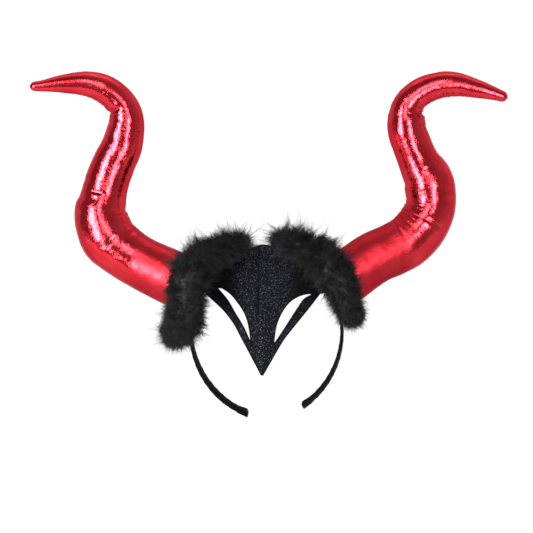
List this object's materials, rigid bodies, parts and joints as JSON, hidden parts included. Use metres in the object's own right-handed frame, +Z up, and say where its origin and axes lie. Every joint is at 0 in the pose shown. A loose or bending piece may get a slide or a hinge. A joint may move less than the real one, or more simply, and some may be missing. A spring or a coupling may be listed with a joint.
{
  "type": "devil horns headband",
  "caption": "Costume headband with curved stuffed horns, fur collars at their roots and a widow's peak that hangs over the forehead.",
  "frame": {"origin": "middle of the band's inner face at the crown, where the headband rests on the head", "axes": "+X to the right in the picture, -Y the front, where the peak hangs, and +Z up"},
  "size_m": [0.3828, 0.1019, 0.2773],
  "materials": {
    "satin_ribbon": "black satin",
    "glitter_fabric": "black glitter",
    "red_lame": "metallic red foil",
    "black_fur": "long soft pile"
  },
  "bodies": {
    "root": {"headband": "satin_ribbon", "widows_peak": "glitter_fabric", "horn_left": "red_lame", "horn_right": "red_lame", "fur_collar_left": "black_fur", "fur_collar_right": "black_fur"}
  },
  "joints": []
}
